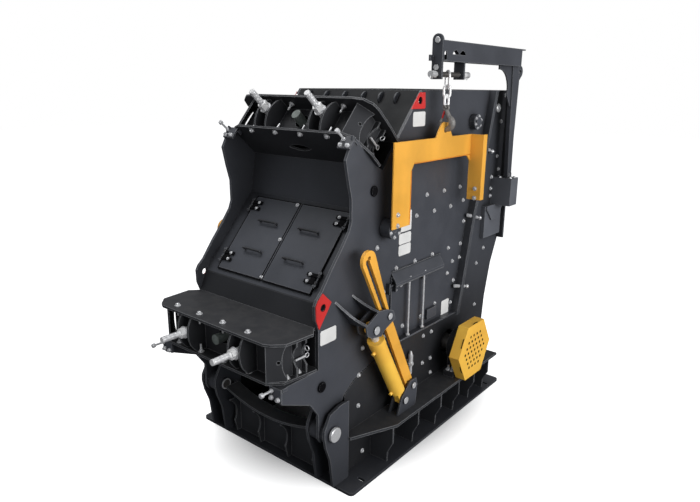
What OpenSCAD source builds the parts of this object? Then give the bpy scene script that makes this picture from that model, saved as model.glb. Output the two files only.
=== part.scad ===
/* [Base] */
// Width of the base plate across the rotor axis, mm
base_w = 1900; // [1700:10:2200]
// Length of the base plate along the material flow, mm
base_l = 2660; // [2600:10:2900]
// Thickness of the base plate, mm
base_t = 25; // [16:1:40]
// Height of the bearing shelf above the floor, mm
shelf_z = 405; // [380:5:430]
// Half width to the outer edge of the bearing shelf, mm
shelf_x = 979; // [940:1:1000]

/* [Housing] */
// Half width to the outer face of the side plates, mm
side_x = 715; // [690:1:720]
// Thickness of the side plates, mm
side_t = 25; // [18:1:30]
// Running gap between the swing frame and the fixed housing, mm
part_gap = 7; // [5:0.5:10]
// Height of the housing roof above the floor, mm
roof_z = 3200; // [3150:5:3260]
// Distance from the base plate's front edge to the feed flange, mm
feed_y = 2850; // [2800:5:2900]

/* [Rotor] */
// Rotor axis, distance from the base plate's front edge, mm
rotor_y = 1852; // [1800:1:1900]
// Rotor axis, height above the floor, mm
rotor_z = 685; // [670:1:720]
// Radius to the tips of the blow bars, mm
rotor_r = 630; // [560:5:640]
// Length of the rotor body, mm
rotor_w = 1300; // [1200:5:1310]
// Radius of the shaft in its bearings, mm
shaft_r = 80; // [60:1:90]

/* [Swing hinge] */
// Swing hinge, distance from the base plate's front edge, mm
hinge_y = -33; // [-60:1:0]
// Swing hinge, height above the floor, mm
hinge_z = 533; // [520:1:560]
// Radius of the swing hinge pins, mm
hinge_r = 45; // [35:1:55]

/* [Opening gear] */
// Half width to the middle plane of the cylinders, mm
ram_x = 850; // [840:1:860]
// Radius of the cylinder barrels, mm
ram_r = 70; // [60:1:72]
// Width of the slotted safety struts, mm
strut_w = 104; // [96:1:110]

/* [Jib] */
// Half width to the jib's arm, mm
jib_x = 850; // [845:1:900]
// Jib post, distance from the base plate's front edge, mm
jib_y = 2702; // [2660:1:2730]
// Top of the jib's arm above the floor, mm
jib_z = 3600; // [3560:5:3700]

/* [Output] */
// Which sub-part to draw

/* [Hidden] */
$fn = 48;

side_in = side_x - side_t;          // inner face of the side plates
slope_a = 48.5;                     // slope of the door panel, degrees
panel_y = -80;                      // foot of the door panel
panel_z = 1620;
beam_a = -41.5;                     // tilt of the upper cross beam, degrees
beam_y = 273;                       // front edge of its lower flange
beam_z = 2894;
ram_foot = [813, 518];              // lower pin of the cylinder
ram_head = [349, 1338];             // upper pin of the cylinder
strut_foot = [936, 616];            // lower pin of the strut
strut_pin = [532, 1407];            // pin that slides in the strut
ram_len = norm(ram_head - ram_foot);
ram_a = atan2(ram_head[1] - ram_foot[1], ram_head[0] - ram_foot[0]);
strut_len = norm(strut_pin - strut_foot);
guard_r = (rotor_z - shelf_z) / sin(60);   // shaft guard stands on the shelf
strut_a = atan2(strut_pin[1] - strut_foot[1], strut_pin[0] - strut_foot[0]);
hanger_y = 1175;                    // front face of the jib's end plate
hanger_z = 3331;                    // cross pin that carries the chain
hanger_r = 18;
arm_h = 165;                        // depth of the jib's arm
chain_y = 1362;                     // line on which the chain hangs
link_r = 11;                        // radius of the chain's wire
hook_z = 2925;                      // middle of the hook's bow
hook_bow = 48;                      // radius of the bow's centre line
hook_wire = 17;                     // radius of the bow's section
slot_r = 24;                        // half width of the strut's slot
slot_end = 1460;                    // upper end of the strut's slot
rod_x_upper = 311;                  // half spacing of the upper apron rods
rod_x_lower = 306;                  // half spacing of the lower apron rods
rib_x = [243, 372];                 // ribs on either side of each rod
rib_bow = 222;                      // radius of the ribs' bowed front edge
lift_eye = 30;                      // radius of the lifting eyes in the side plates
door_hinge_q = 20;                  // height of the door hinge pins over the slope
door_hinges = [137, 670];           // foot of each door hinge, up the slope

// parting line between the fixed housing and the swing frame, front to rear
parting = [[96, 640], [178, 775], [297, 860], [640, 960], [961, 1005], [1905, 985],
           [1960, 1217], [2105, 1876], [2458, roof_z]];
swing_front = [[252, 2395], [254, 2211], [227, 2141], [139, 2024], [17, 1879], [-92, 1735],
               [-150, 1683], [-174, 1642], [-171, 1530], [-138, 1444], [-138, 1112],
               [-545, 1112], [-535, 985], [-230, 850]];

apron_shafts = [[690, 2100], [2107, 2905]];

// point of the tilted cross beam, p along its flanges and q across them
function beam_at(p, q) = [beam_y + p * cos(beam_a) - q * sin(beam_a), beam_z + p * sin(beam_a) + q * cos(beam_a)];
// point of the sloped door panel, p up the slope and q out of it
function slope_at(p, q) = [panel_y + p * cos(slope_a) - q * sin(slope_a), panel_z + p * sin(slope_a) + q * cos(slope_a)];

module place() translate([0, -base_l / 2, 0]) children();
module yz(x0, t) translate([x0, 0, 0]) rotate([90, 0, 90]) linear_extrude(t) children();
module xz(y0, t) translate([0, y0 + t, 0]) rotate([90, 0, 0]) linear_extrude(t) children();
module both() { children(); mirror([1, 0, 0]) children(); }
module side(s) mirror([s < 0 ? 1 : 0, 0, 0]) children();
// closed outline from its right half, front to rear
function mirrored(p) = concat(p, [for (i = [len(p) - 1 : -1 : 0]) [-p[i][0], p[i][1]]]);
// slot with round ends along X, without facets
module slot_along(len, r) {
    for (d = [0, len]) translate([d, 0]) circle(r = r);
    translate([0, -r]) square([len, 2 * r]);
}
module rod_x(x0, x1, p, r) translate([x0, p[0], p[1]]) rotate([0, 90, 0]) cylinder(r = r, h = x1 - x0);

module base_plate() place() color([0.20, 0.21, 0.24]) difference() {
    linear_extrude(base_t) difference() {
        union() {
            translate([-base_w / 2, 40]) square([base_w, base_l - 80]);
            translate([-base_w / 2 + 40, 0]) square([base_w - 80, base_l]);
            for (x = [-1, 1], y = [40, base_l - 40]) translate([x * (base_w / 2 - 40), y]) circle(r = 40);
        }
        translate([-side_in + 90, 260]) square([2 * side_in - 180, base_l - 480]);
    }
    for (x = [-1, 1], y = [211, base_l - 211]) translate([x * 881 - 22, y, -1]) linear_extrude(base_t + 2)
        slot_along(44, 15);
}

module base_front() place() color([0.20, 0.21, 0.24]) {
    // wall with a sagging top edge between the hinge ears
    difference() {
        translate([-570, 90, base_t]) cube([1140, 20, 480]);
        translate([0, 80, 1900]) rotate([-90, 0, 0]) cylinder(r = 1510, h = 60, $fn = 180);
    }
    difference() {
        intersection() {
            translate([-530, -41, 300]) cube([1060, 151, 300]);
            translate([0, -60, 1900]) rotate([-90, 0, 0]) cylinder(r = 1510, h = 200, $fn = 180);
        }
        translate([0, -80, 1900]) rotate([-90, 0, 0]) cylinder(r = 1490, h = 240, $fn = 180);
    }
    for (x = [-500, -175, 175, 500]) difference() {
        yz(x - 8, 16) polygon([[45, base_t], [91, base_t], [91, 380], [-35, 380]]);
        rod_x(x - 10, x + 10, [-113, 232], 158);
        translate([0, -60, 1900]) rotate([-90, 0, 0]) cylinder(r = 1510, h = 240, $fn = 180);
    }
}

module base_rear() place() color([0.20, 0.21, 0.24]) {
    translate([-side_in, 2560, base_t]) cube([2 * side_in, 20, 640]);
    translate([-side_in, 2480, 345]) cube([2 * side_in, 80, 20]);
    for (x = [-460, 0, 460]) translate([x - 8, 2580, base_t]) cube([16, 70, 600]);
}

module shelf(s) side(s) {
    // shelf plate, narrower at the hinge end
    translate([0, 0, shelf_z - 25]) linear_extrude(25)
        polygon([[side_x, 170], [795, 170], [shelf_x, 590], [shelf_x, 2500], [side_x, 2500]]);
    // foot plates that narrow towards the floor
    for (y = [551, 955, 1356, 1704, 2025, 2340]) xz(y, 16)
        polygon([[side_x, base_t], [900, base_t], [905, 120], [960, 225], [960, shelf_z - 25], [side_x, shelf_z - 25]]);
}
module shelf_r() place() color([0.20, 0.21, 0.24]) shelf(1);
module shelf_l() place() color([0.20, 0.21, 0.24]) shelf(-1);

module ear_shape() polygon([[-26, base_t], [-60, 290], [-112, 430], [-133, 532], [-129, 592],
                            [-62, 711], [60, 745], [170, 745], [170, base_t]]);
module ears(s) side(s) {
    difference() {
        union() {
            yz(570, 25) ear_shape();
            yz(750, 25) ear_shape();
            translate([595, 150, base_t]) cube([155, 20, 380]);
        }
        rod_x(560, 790, [hinge_y, hinge_z], hinge_r);
    }
    // hinge pin with a head inside and a retaining disc outside
    rod_x(535, 789, [hinge_y, hinge_z], hinge_r);
    rod_x(535, 570, [hinge_y, hinge_z], hinge_r + 6);
}
module ears_r() place() color([0.20, 0.21, 0.24]) ears(1);
module ears_l() place() color([0.20, 0.21, 0.24]) ears(-1);

module fixed_side(s) side(s) difference() {
    union() {
        yz(side_in, side_t) polygon(concat([[185, base_t], [185, 700]],
            [for (i = [1 : 8]) [parting[i][0] + part_gap, parting[i][1] - (i < 6 ? part_gap : 0)]],
            [[feed_y, roof_z], [feed_y, 1621], [2723, 1346], [2633, 980], [2603, 689], [2603, base_t]]));
        // closing flange along the parting line
        yz(side_x, 75) polygon([[1912, 985], [1967, 1217], [2112, 1876], [2465, roof_z],
                                [2487, roof_z], [2134, 1872], [1989, 1213], [1934, 985]]);
        // flange round the feed opening
        translate([side_x, feed_y - 25, 1621]) cube([75, 25, roof_z - 1621]);
    }
    rod_x(side_in - 10, side_x + 10, [rotor_y, rotor_z], 130);
}
module fixed_side_r() place() color([0.20, 0.21, 0.24]) fixed_side(1);
module fixed_side_l() place() color([0.20, 0.21, 0.24]) fixed_side(-1);

module feed_box() place() color([0.20, 0.21, 0.24]) {
    // sloping feed plate, rear wall, top beam and lower feed flange
    yz(-side_in, 2 * side_in) polygon([[feed_y, 1621], [feed_y, 1660], [2420, 1350], [2420, 1310], [2700, 1500]]);
    yz(-side_in, 2 * side_in) polygon([[2723, 1346], [2633, 980], [2603, 689], [2583, 689], [2613, 984], [2703, 1350], [2800, 1621], [2825, 1621]]);
    translate([-side_in, 2490, roof_z - 20]) cube([2 * side_in, feed_y - 2490, 20]);
    translate([-side_in, feed_y - 25, roof_z - 140]) cube([2 * side_in, 25, 120]);
}

module bearing(s) side(s) {
    difference() {
        union() {
            translate([800, rotor_y - 190, shelf_z]) cube([110, 380, 60]);
            rod_x(800, 910, [rotor_y, rotor_z], 165);
            translate([800, rotor_y - 130, shelf_z + 60]) cube([110, 260, rotor_z - shelf_z - 60]);
        }
        rod_x(790, 920, [rotor_y, rotor_z], shaft_r + 0.05);
    }
}
module bearing_r() place() color([0.30, 0.31, 0.33]) bearing(1);
module bearing_l() place() color([0.30, 0.31, 0.33]) bearing(-1);

module hexagon(r) circle(r = r, $fn = 6);
module shaft_guard() place() color([0.95, 0.70, 0.15]) difference() {
    translate([925, rotor_y, rotor_z]) rotate([90, 0, 90]) difference() {
        linear_extrude(107) hexagon(guard_r);
        translate([0, 0, -1]) linear_extrude(105) hexagon(guard_r - 4);
    }
    for (i = [-3 : 3], j = [-3 : 3]) if (abs(i + j) < 4)
        rod_x(1020, 1040, [rotor_y + (i - j) * 32, rotor_z + (i + j) * 55], 11);
}

module rotor() place() color([0.42, 0.42, 0.43]) {
    rod_x(-915, 960, [rotor_y, rotor_z], shaft_r);
    rod_x(-1060, -915, [rotor_y, rotor_z], shaft_r - 10);
    rod_x(-660, 660, [rotor_y, rotor_z], 115);
    for (x = [-1 : 1]) difference() {
        rod_x(x * 590 - 45, x * 590 + 45, [rotor_y, rotor_z], 540);
        rod_x(x * 590 - 50, x * 590 + 50, [rotor_y, rotor_z], 110);
        for (a = [0 : 90 : 270]) translate([0, rotor_y, rotor_z]) rotate([a, 0, 0])
            translate([-700, 410, -60]) cube([1400, 400, 120]);
    }
}
module blow_bars() place() color([0.55, 0.54, 0.52]) {
    for (a = [0 : 90 : 270]) translate([0, rotor_y, rotor_z]) rotate([a, 0, 0])
        translate([-rotor_w / 2, 410, -60]) cube([rotor_w, rotor_r - 416, 119]);
}

module ram_foot(s) side(s) difference() {
    for (x = [-50, 35]) yz(ram_x + x, 15)
        polygon([[700, shelf_z], [760, 560], [890, 672], [985, 672], [1010, 600], [990, shelf_z]]);
    rod_x(ram_x - 60, ram_x + 60, ram_foot, 22);
    rod_x(ram_x - 60, ram_x + 60, strut_foot, 22);
}
module ram_foot_pins(s) side(s) for (p = [ram_foot, strut_foot]) {
    rod_x(ram_x - 60, ram_x + 60, p, 22);
    rod_x(ram_x + 50, ram_x + 62, p, 30);
}
module ram_foot_r() place() color([0.20, 0.21, 0.24]) { ram_foot(1); ram_foot_pins(1); }
module ram_foot_l() place() color([0.20, 0.21, 0.24]) { ram_foot(-1); ram_foot_pins(-1); }

module jib_socket() place() color([0.20, 0.21, 0.24]) {
    // bracket plate on the housing, its gusset, and the socket block
    translate([side_x, 2430, 1680]) cube([40, 380, 340]);
    yz(side_x + 39, 20) polygon([[2440, 2025], [2440, 1990], [2560, 1860], [2700, 1860], [2790, 1980], [2790, 2025]]);
    difference() {
        translate([side_x, jib_y - 85, 2020]) cube([jib_x - side_x + 85, 170, 290]);
        translate([jib_x, jib_y, 2060]) cylinder(r = 40.05, h = 300);
    }
}

module swing_plate(s) side(s) difference() {
    yz(side_in, side_t) difference() {
        union() {
            polygon(concat(
                [[-80, 640], [20, 640]], [for (i = [1 : 8]) [parting[i][0], parting[i][1]]],
                [[1184, roof_z], [640, 2580], beam_at(395, -20.3), beam_at(2, -20.3), [254, 2840], [178, 2696], [214, 2534]],
                swing_front));
            translate([hinge_y, hinge_z]) circle(r = 105);
            polygon([[hinge_y - 103, hinge_z], [-140, 850], [178, 775], [hinge_y + 100, hinge_z + 20]]);
        }
    }
    rod_x(side_in - 5, side_x + 5, [hinge_y, hinge_z], hinge_r + 0.05);
    // lifting eyes in the front and top corners
    for (p = [[-88, 1612], [1150, 3118]]) rod_x(side_in - 5, side_x + 5, p, lift_eye);
}
module swing_side(s) {
    swing_plate(s);
    side(s) {
        // hinge boss
        difference() {
            union() { rod_x(601, side_in, [hinge_y, hinge_z], 90); rod_x(side_x, 744, [hinge_y, hinge_z], 90); }
            rod_x(590, 760, [hinge_y, hinge_z], hinge_r + 0.05);
        }
        // closing flange along the parting line
        yz(side_x, 75) polygon([[1905, 985], [1960, 1217], [2105, 1876], [2458, roof_z],
                                [2436, roof_z], [2083, 1880], [1938, 1221], [1883, 989]]);
        yz(side_x - 1, 61) polygon([[860, 1022], [1892, 1004], [1895, 1018], [860, 1036]]);
        // sloping hood over the clamping rods, with its front end plate
        xz(804, 800) polygon([[side_x - 1, 1656], [side_x - 1, 1680], [775, 1585], [775, 1562], [766, 1562], [766, 1575]]);
        translate([side_x - 1, 790, 1340]) cube([15, 10, 300]);
        // ends of the apron shafts
        for (p = apron_shafts) {
            rod_x(side_x - 1, side_x + 18, p, 76);
            rod_x(side_x + 17, 786, p, 46);
        }
        // ringed plugs
        for (p = [[-105, 958], [525, 2425]]) rod_x(side_x - 1, side_x + 12, p, 34);
    }
}
module swing_side_r() place() color([0.20, 0.21, 0.24]) swing_side(1);
module swing_side_l() place() color([0.20, 0.21, 0.24]) swing_side(-1);

module on_slope() translate([0, panel_y, panel_z]) rotate([slope_a, 0, 0]) children();
module door_frame() place() color([0.20, 0.21, 0.24]) {
    // lower wall, sloped plate with the two inspection openings, and upper wall
    difference() {
        yz(-side_in, 2 * side_in) polygon([[-145, 1112], [-145, 1460], slope_at(0, 0), slope_at(861, 0),
            beam_at(395.3, -20.3), beam_at(395.3, 0), [590, 2632], [590, 2606], [576, 2590],
            slope_at(871, -20), slope_at(10, -20), [-122, 1455], [-122, 1112]]);
        on_slope() for (x = [-1, 1]) translate([x * 275 - 235, 90, -30]) cube([470, 690, 40]);
        for (x = [-1, 1]) translate([x * rod_x_lower, -150, 1302]) rotate([-90, 0, 0]) cylinder(r = 30, h = 60);
    }
    on_slope() {
        // mullion between the doors, and hinge lugs with their pins
        translate([-9, 62, -1]) cube([18, 746, 13]);
        both() for (y = door_hinges) {
            for (d = [-16, 92]) translate([548, y + d, -1]) cube([34, 14, 33]);
            translate([565, y - 26, door_hinge_q]) rotate([-90, 0, 0]) cylinder(r = 9, h = 142);
        }
    }
}

module tilt() translate([0, beam_y, beam_z]) rotate([beam_a, 0, 0]) children();
// inside of a cross beam: web, bowed ribs, slanted corner plates and end ribs
module beam_inside(h, rods, rod_z, bow_z) {
    difference() {
        translate([-640, 110, -2]) cube([1280, 20, h + 4]);
        for (x = [-rods, rods]) translate([x, 100, rod_z]) rotate([-90, 0, 0]) cylinder(r = 30, h = 40);
        translate([0, 100, rod_z]) rotate([-90, 0, 0]) cylinder(r = 62, h = 40);
    }
    for (x = rib_x, m = [-1, 1]) intersection() {
        translate([m * x - 8, -80, -2]) cube([16, 192, h + 4]);
        translate([m * x - 9, 163, bow_z]) rotate([0, 90, 0]) cylinder(r = rib_bow, h = 18);
    }
    both() {
        translate([590, 0, 0]) rotate([0, 0, 52]) difference() {
            translate([0, 0, -2]) cube([160, 16, h + 4]);
            translate([361, -5, h / 2]) rotate([-90, 0, 0]) cylinder(r = 240, h = 26);
            translate([95, -5, h / 2]) rotate([-90, 0, 0]) cylinder(r = 13, h = 26);
        }
        for (y = [220, 320]) difference() {
            translate([620, y, -2]) cube([70, 14, h + 4]);
            translate([760, y - 5, h / 2]) rotate([-90, 0, 0]) cylinder(r = 110, h = 24);
        }
        translate([628, 120, -2]) cube([16, 240, h + 4]);
    }
}
module upper_beam() place() color([0.20, 0.21, 0.24]) tilt() {
    // lower flange with its oval window, upper flange, and what stands between them
    translate([0, 0, -20]) linear_extrude(20) difference() {
        polygon(mirrored([[590, 0], [660, 30], [700, 90], [716, 140], [750, 240], [750, 395]]));
        intersection() { translate([0, 48]) circle(r = 230); translate([0, 428]) circle(r = 230); }
    }
    translate([0, 0, 283]) linear_extrude(20)
        polygon(mirrored([[562, -48], [664, -35], [730, 19], [750, 87], [752, 300], [735, 481]]));
    beam_inside(283, rod_x_upper, 159, 141);
}
module lower_beam() place() color([0.20, 0.21, 0.24]) translate([0, -570, 1132]) {
    translate([0, 0, -20]) linear_extrude(20) polygon(mirrored([[590, 0], [685, 95], [719, 410], [689, 424]]));
    translate([0, 0, 306]) linear_extrude(20)
        polygon(mirrored([[600, -32], [653, -7], [735, 72], [755, 340], [689, 410], [689, 424]]));
    beam_inside(306, rod_x_lower, 170, 170);
}
module roof() place() color([0.20, 0.21, 0.24]) {
    yz(-side_in, 2 * side_in) polygon([[1184, roof_z], [2440, roof_z], [2440, roof_z - 20], [1192, roof_z - 20]]);
    yz(-side_in, 2 * side_in) polygon([[640, 2580], [1184, roof_z], [1192, roof_z - 20], [1204, roof_z - 21], [655, 2567]]);
    yz(-side_in, 2 * side_in) polygon([[590, 2632], [640, 2580], [655, 2567], [590, 2606]]);
}
module apron_upper() place() color([0.34, 0.34, 0.35]) {
    yz(-660, 1320) polygon([[2067, 2905], [1480, 2180], [1460, 1900], [1590, 1370], [1660, 1380],
                            [1620, 1900], [1660, 2100], [2147, 2895]]);
    rod_x(-side_in, side_in, [2107, 2905], 45);
}
module apron_lower() place() color([0.34, 0.34, 0.35]) {
    yz(-660, 1320) polygon([[650, 2100], [780, 1500], [930, 1180], [1150, 935], [1190, 960],
                            [1080, 1280], [900, 1560], [730, 2105]]);
    rod_x(-side_in, side_in, [690, 2100], 45);
}

module threaded(len, r, nut_at, seat) {
    rotate([-90, 0, 0]) cylinder(r = r, h = len);
    translate([0, nut_at, 0]) rotate([-90, 0, 0]) cylinder(r = r + 18, h = 55, $fn = 6);
    translate([0, nut_at + 55, 0]) rotate([-90, 0, 0]) cylinder(r = r + 12, h = seat - nut_at - 55);
}
module rods_upper() place() color([0.70, 0.71, 0.72]) tilt() {
    for (x = [-1, 1]) translate([x * rod_x_upper, -254, 159]) threaded(640, 24, 150, 364);
    translate([0, 15, 159]) rotate([-90, 0, 0]) cylinder(r = 42, h = 467);
}
module rods_lower() place() color([0.70, 0.71, 0.72]) {
    for (x = [-1, 1]) translate([x * rod_x_lower, -825, 1302]) threaded(1500, 24, 165, 365);
    translate([0, -547, 1302]) rotate([-90, 0, 0]) cylinder(r = 42, h = 401.7);
}

module arm_bracket(s) side(s) {
    // two sloping gusset plates with curved outer edges
    gusset([51, 1608], [[side_x, 0], [740, 62], [760, 116], [784, 166], [810, 208], [845, 238], [898, 258], [898, 300], [side_x, 300]]);
    gusset([178, 1710], [[side_x, 130], [738, 168], [768, 205], [800, 237], [845, 270], [898, 292], [898, 330], [side_x, 330]]);
    difference() {
        for (x = [-50, 35]) yz(ram_x + x, 15)
            polygon([[223, 1404], [240, 1320], [300, 1282], [427, 1262], [467, 1300], [620, 1359],
                     [588, 1440], [501, 1474], [391, 1489], [299, 1440]]);
        rod_x(ram_x - 60, ram_x + 60, ram_head, 22);
        rod_x(ram_x - 60, ram_x + 60, strut_pin, 18);
    }
    rod_x(ram_x - 60, ram_x + 60, ram_head, 22);
    rod_x(ram_x - 60, ram_x + 60, strut_pin, 18);
    rod_x(ram_x + 50, ram_x + 62, ram_head, 34);
    rod_x(ram_x + 50, ram_x + 60, strut_pin, 27);
}
module gusset(p, outline) translate([0, p[0], p[1]]) rotate([-50, 0, 0]) linear_extrude(20) polygon(outline);
module arm_bracket_r() place() color([0.20, 0.21, 0.24]) arm_bracket(1);
module arm_bracket_l() place() color([0.20, 0.21, 0.24]) arm_bracket(-1);

module door(s) on_slope() side(s) {
    difference() {
        translate([14.5, 62, 2]) cube([530.5, 746, 12]);
        for (y = door_hinges) translate([545, y, 0]) cube([40, 90, 40]);
    }
    for (y = door_hinges) {
        // two straps that end in the hinge's knuckles
        difference() {
            for (d = [0, 60]) translate([0, y + d + 4, 0]) {
                translate([450, 0, 13]) cube([115, 22, 15]);
                translate([565, 0, door_hinge_q]) rotate([-90, 0, 0]) cylinder(r = 16, h = 22);
            }
            translate([565, y - 10, door_hinge_q]) rotate([-90, 0, 0]) cylinder(r = 9.05, h = 110);
        }
    }
    // bow handles
    for (y = [282, 567]) {
        for (x = [142, 342]) translate([x, y, 13]) cylinder(r = 8, h = 35);
        translate([130, y, 48]) rotate([0, 90, 0]) cylinder(r = 8, h = 224);
    }
}
module door_r() place() color([0.20, 0.21, 0.24]) door(1);
module door_l() place() color([0.20, 0.21, 0.24]) door(-1);

module along(p, a) translate([0, p[0], p[1]]) rotate([a, 0, 0]) children();
module barrel(s) side(s) along(ram_foot, ram_a) translate([ram_x, 0, 0]) {
    difference() {
        union() {
            // tube, end cap and lower cap
            translate([0, 128, 0]) rotate([-90, 0, 0]) cylinder(r = ram_r, h = 640);
            translate([0, 740, 0]) rotate([-90, 0, 0]) cylinder(r = ram_r + 4, h = 70);
            translate([0, 108, 0]) rotate([-90, 0, 0]) cylinder(r1 = 50, r2 = ram_r, h = 20);
            // lower eye with rounded end
            translate([-30, 0, -40]) cube([60, 110, 80]);
            translate([-30, 0, 0]) rotate([0, 90, 0]) cylinder(r = 46, h = 60);
            // hose ports on the front side
            for (y = [172, 715]) translate([0, y, ram_r - 12]) cylinder(r = 15, h = 36);
        }
        translate([0, 140, 0]) rotate([-90, 0, 0]) cylinder(r = 50, h = 560);
        translate([-50, 0, 0]) rotate([0, 90, 0]) cylinder(r = 22.05, h = 100);
        translate([0, 690, 0]) rotate([-90, 0, 0]) cylinder(r = 32.05, h = 130);
    }
}
module barrel_r() place() color([0.95, 0.70, 0.15]) barrel(1);
module barrel_l() place() color([0.95, 0.70, 0.15]) barrel(-1);
module piston(s) side(s) along(ram_foot, ram_a) translate([ram_x, 0, 0]) {
    translate([0, 145, 0]) rotate([-90, 0, 0]) cylinder(r = 49.9, h = 60);
    translate([0, 200, 0]) rotate([-90, 0, 0]) cylinder(r = 32, h = ram_len - 250);
    // rod eye; its hole is longer along the rod
    difference() {
        union() {
            translate([-28, ram_len - 52, -42]) cube([56, 52, 84]);
            translate([-28, ram_len + 8, 0]) rotate([0, 90, 0]) cylinder(r = 50, h = 56);
        }
        translate([-50, ram_len, 0]) rotate([0, 90, 0]) linear_extrude(100)
            translate([0, -13]) rotate([0, 0, 90]) slot_along(26, 26);
    }
}
module piston_r() place() color([0.75, 0.75, 0.76]) piston(1);
module piston_l() place() color([0.75, 0.75, 0.76]) piston(-1);
// slotted bar: the pin runs up the slot as the housing opens, and rests in its hooked end
module strut(s) side(s) along(strut_foot, strut_a) yz(ram_x - 14, 28) difference() {
    union() {
        circle(r = strut_w / 2);
        translate([0, -strut_w / 2]) square([901, strut_w]);
        polygon([[900, -strut_w / 2], [1455, -107], [1455, 63], [900, strut_w / 2]]);
        translate([1455, -22]) circle(r = 85);
    }
    circle(r = 22.05);
    translate([strut_len - 20, 0]) slot_along(slot_end - strut_len + 20, slot_r);
    translate([1478, -30]) circle(r = 18);
}
module strut_r() place() color([0.95, 0.70, 0.15]) strut(1);
module strut_l() place() color([0.95, 0.70, 0.15]) strut(-1);

module jib() place() color([0.20, 0.21, 0.24]) {
    // spigot in the socket, tapered post, its rear eye and the curved gusset
    translate([jib_x, jib_y, 2070]) cylinder(r = 40, h = 290);
    yz(jib_x - 20, 40) polygon([[jib_y - 42, 2320], [jib_y + 43, 2320], [jib_y + 36, jib_z - 868],
        [jib_y + 58, jib_z - 316], [jib_y + 10, jib_z - arm_h + 2], [jib_y - 112, jib_z - arm_h + 2],
        [jib_y - 94, jib_z - 395], [jib_y - 72, jib_z - 862]]);
    difference() {
        yz(jib_x - 9, 18) union() {
            translate([jib_y + 95, jib_z - 215]) circle(r = 58);
            polygon([[jib_y, jib_z - arm_h + 2], [jib_y + 128, jib_z - arm_h - 1], [jib_y + 120, jib_z - 268], [jib_y + 50, jib_z - 330]]);
        }
        rod_x(jib_x - 20, jib_x + 20, [jib_y + 97, jib_z - 215], 20);
    }
    difference() {
        yz(jib_x - 8, 16) polygon([[jib_y - 377, jib_z - arm_h + 2], [jib_y - 377, jib_z - 204], [jib_y - 90, jib_z - 560],
                                   [jib_y - 80, jib_z - arm_h + 2]]);
        rod_x(jib_x - 20, jib_x + 20, [jib_y - 357, jib_z - 395], 192);
    }
    // hollow arm with two half-round windows, and a slot in the near wall
    difference() {
        translate([jib_x - 50, hanger_y + 10, jib_z - arm_h]) cube([100, jib_y + 13 - hanger_y - 10, arm_h]);
        translate([jib_x - 38, hanger_y + 30, jib_z - arm_h + 12]) cube([76, jib_y - hanger_y - 30, arm_h - 24]);
        for (y = [1393, 1512]) intersection() {
            rod_x(jib_x - 60, jib_x + 60, [y, jib_z - 130], 58);
            translate([jib_x - 60, y - 60, jib_z - 106]) cube([120, 120, 60]);
        }
        translate([jib_x + 30, hanger_y + 30, jib_z - arm_h + 12]) cube([30, 42, 66]);
    }
    translate([jib_x - 50, hanger_y + 20, jib_z - 12]) cube([100, jib_y + 90 - hanger_y - 20, 12]);
    // end plate and second hanger, which hold the chain's cross pin
    difference() {
        union() {
            xz(hanger_y, 20) {
                translate([jib_x - 50, hanger_z - 40]) square([100, jib_z - hanger_z + 40]);
                translate([jib_x, jib_z]) circle(r = 50);
            }
            translate([jib_x - 50, hanger_y - 48, jib_z - 164]) cube([16, 49, 48]);
            xz(hanger_y + 370, 20) translate([jib_x - 50, hanger_z - 40]) square([100, jib_z - arm_h - hanger_z + 45]);
        }
        translate([jib_x, hanger_y - 50, hanger_z]) rotate([-90, 0, 0]) cylinder(r = hanger_r + 0.05, h = 500);
        translate([jib_x, hanger_y - 50, jib_z]) rotate([-90, 0, 0]) cylinder(r = 20, h = 100);
    }
}
// link of round wire, hanging in its own plane: two bends and two straight sides
module link(top, bottom, half, turn) translate([jib_x, chain_y, 0]) rotate([0, 0, turn]) {
    for (m = [0, 1]) translate([0, 0, m == 0 ? bottom + half : top - half]) rotate([90, m * 180, 0])
        rotate([0, 0, 180]) rotate_extrude(angle = 180, $fn = 32) translate([half, 0]) circle(r = link_r, $fn = 16);
    for (m = [-1, 1]) translate([m * half, 0, bottom + half]) cylinder(r = link_r, h = top - bottom - 2 * half, $fn = 16);
}
module chain_hook() place() color([0.6, 0.6, 0.6]) {
    // cross pin with its thick end
    translate([jib_x, hanger_y - 90, hanger_z]) rotate([-90, 0, 0]) cylinder(r = hanger_r, h = 610);
    translate([jib_x, hanger_y + 390, hanger_z]) rotate([-90, 0, 0]) cylinder(r = 28, h = 90);
    // three links, then the hook: eye, shank and open bow
    link(3360, 3222, 36, -35);
    link(3243, 3143, 27, 40);
    link(3164, 3060, 27, 84);
    translate([jib_x, chain_y, hook_z + 134]) rotate([90, 0, 0])
        rotate_extrude($fn = 32) translate([22, 0]) circle(r = link_r, $fn = 16);
    translate([jib_x, chain_y, hook_z]) rotate([90, 0, 0]) {
        rotate([0, 0, -200]) rotate_extrude(angle = 260, $fn = 48)
            translate([hook_bow, 0]) circle(r = hook_wire, $fn = 20);
        rotate([0, 0, -200]) translate([hook_bow - 1, 10, 0]) rotate([90, 0, 0]) cylinder(r1 = hook_wire - 2, r2 = 8, h = 40, $fn = 20);
        translate([33, 34, 0]) rotate([0, 0, 25]) rotate([-90, 0, 0]) cylinder(r1 = hook_wire - 2, r2 = link_r - 1, h = 77, $fn = 20);
    }
}
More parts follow.
